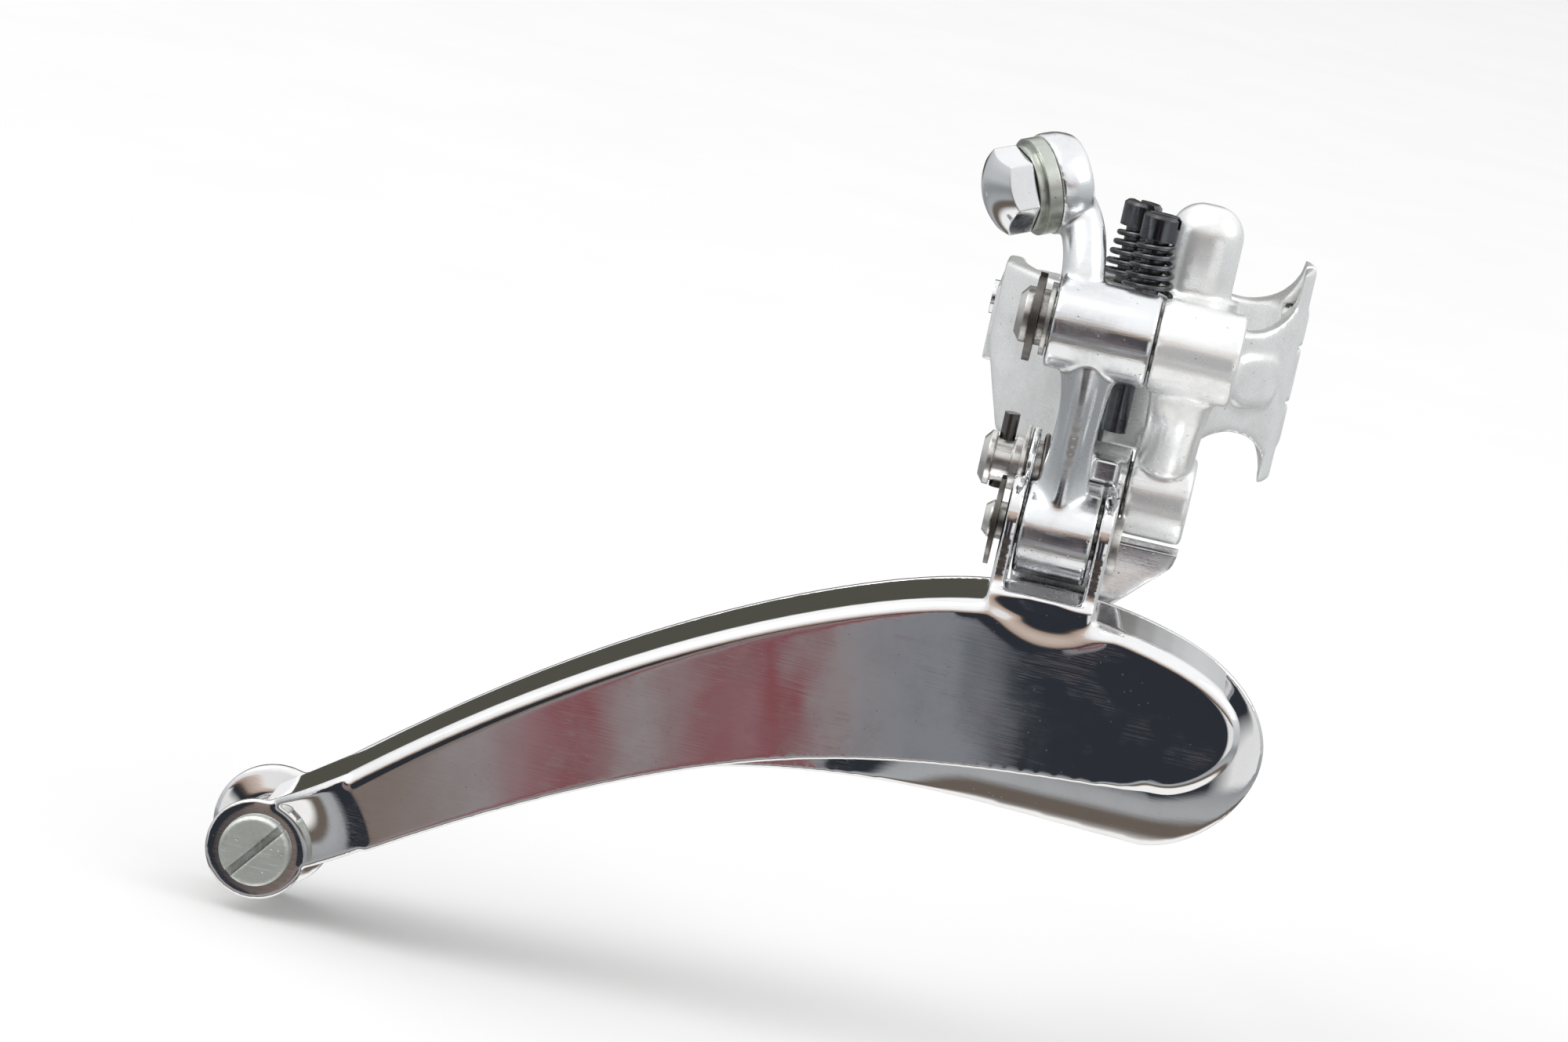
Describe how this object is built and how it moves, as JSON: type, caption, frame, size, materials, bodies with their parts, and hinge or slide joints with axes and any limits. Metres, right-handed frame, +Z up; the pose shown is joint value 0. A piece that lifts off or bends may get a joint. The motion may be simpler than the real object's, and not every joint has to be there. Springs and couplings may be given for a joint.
{
  "type": "front derailleur",
  "caption": "Clamp-on bicycle front derailleur: a hinged seat-tube clamp carries a parallelogram of two links that moves a curved chromed chain cage sideways.",
  "frame": {"origin": "centre of the seat-tube bore, half way up the clamp band's waist", "axes": "+Z up along the seat tube, +X to the front of the bicycle, +Y inward from the chainrings to the frame"},
  "size_m": [0.1098, 0.0638, 0.1006],
  "materials": {
    "forged_alloy": "polished, hazy",
    "polished_alloy": "polished",
    "chromed_sheet": "mirror chrome with fine scratches",
    "chromed_steel": "bright chrome",
    "bright_steel": "turned steel",
    "dark_steel": "oiled spring steel",
    "black_steel": "black oxide",
    "worn_steel": "worn and dull",
    "zinc_steel": "zinc plated, aged"
  },
  "bodies": {
    "clamp": {"clamp_body": "forged_alloy", "clamp_strap": "forged_alloy", "clamp_hinge_pin": "bright_steel", "upper_pivot_pin": "bright_steel", "upper_circlip": "black_steel", "upper_washer": "bright_steel", "lower_pivot_pin": "bright_steel", "lower_cross_pin": "black_steel", "lower_washer": "bright_steel", "limit_spring_high": "black_steel", "limit_spring_low": "black_steel", "return_spring": "dark_steel"},
    "outer_arm": {"outer_arm": "polished_alloy", "anchor_washer": "zinc_steel"},
    "inner_link": {"inner_link": "forged_alloy"},
    "cage": {"cage_outer_plate": "chromed_sheet", "cage_inner_plate": "chromed_sheet", "front_cage_pin": "bright_steel", "front_cage_circlip": "dark_steel", "rear_cage_pin": "bright_steel", "rear_cage_circlip": "dark_steel", "cage_screw": "worn_steel", "cage_spacer": "bright_steel"},
    "limit_screw_high": {"limit_screw_high": "black_steel"},
    "limit_screw_low": {"limit_screw_low": "black_steel"},
    "cable_bolt": {"cable_bolt": "chromed_steel"},
    "clamp_bolt": {"clamp_bolt": "chromed_steel"}
  },
  "joints": [
    {"name": "arm_swing", "type": "hinge", "parent": "clamp", "child": "outer_arm", "pos_m": [-0.005, -0.035, 0.004], "axis": [-1, 0, 0], "range_deg": [0, 34], "stiffness_Nm_per_rad": 0.25, "springref_deg": -20.05},
    {"name": "link_swing", "type": "hinge", "parent": "clamp", "child": "inner_link", "pos_m": [-0.005, -0.0245, -0.0135], "axis": [-1, 0, 0], "range_deg": [0, 34]},
    {"name": "cage_pivot", "type": "hinge", "parent": "outer_arm", "child": "cage", "pos_m": [-0.005, -0.033, -0.0184], "axis": [-1, 0, 0], "range_deg": [-34, 0]},
    {"name": "high_screw_turn", "type": "hinge", "parent": "clamp", "child": "limit_screw_high", "pos_m": [-0.0007, -0.0272, 0.01], "axis": [0, 0, 1], "continuous": true},
    {"name": "low_screw_turn", "type": "hinge", "parent": "clamp", "child": "limit_screw_low", "pos_m": [-0.003, -0.0206, 0.01], "axis": [0, 0, 1], "continuous": true},
    {"name": "cable_bolt_turn", "type": "hinge", "parent": "outer_arm", "child": "cable_bolt", "pos_m": [-0.012, -0.029, 0.0176], "axis": [-0.8521, -0.4211, -0.3107], "continuous": true},
    {"name": "clamp_bolt_turn", "type": "hinge", "parent": "clamp", "child": "clamp_bolt", "pos_m": [-0.011, 0.0196, -0.003], "axis": [1, 0, 0], "continuous": true}
  ],
  "couplings": [
    {"joint": "link_swing", "follows": "arm_swing", "ratio": 1},
    {"joint": "cage_pivot", "follows": "arm_swing", "ratio": -1}
  ]
}
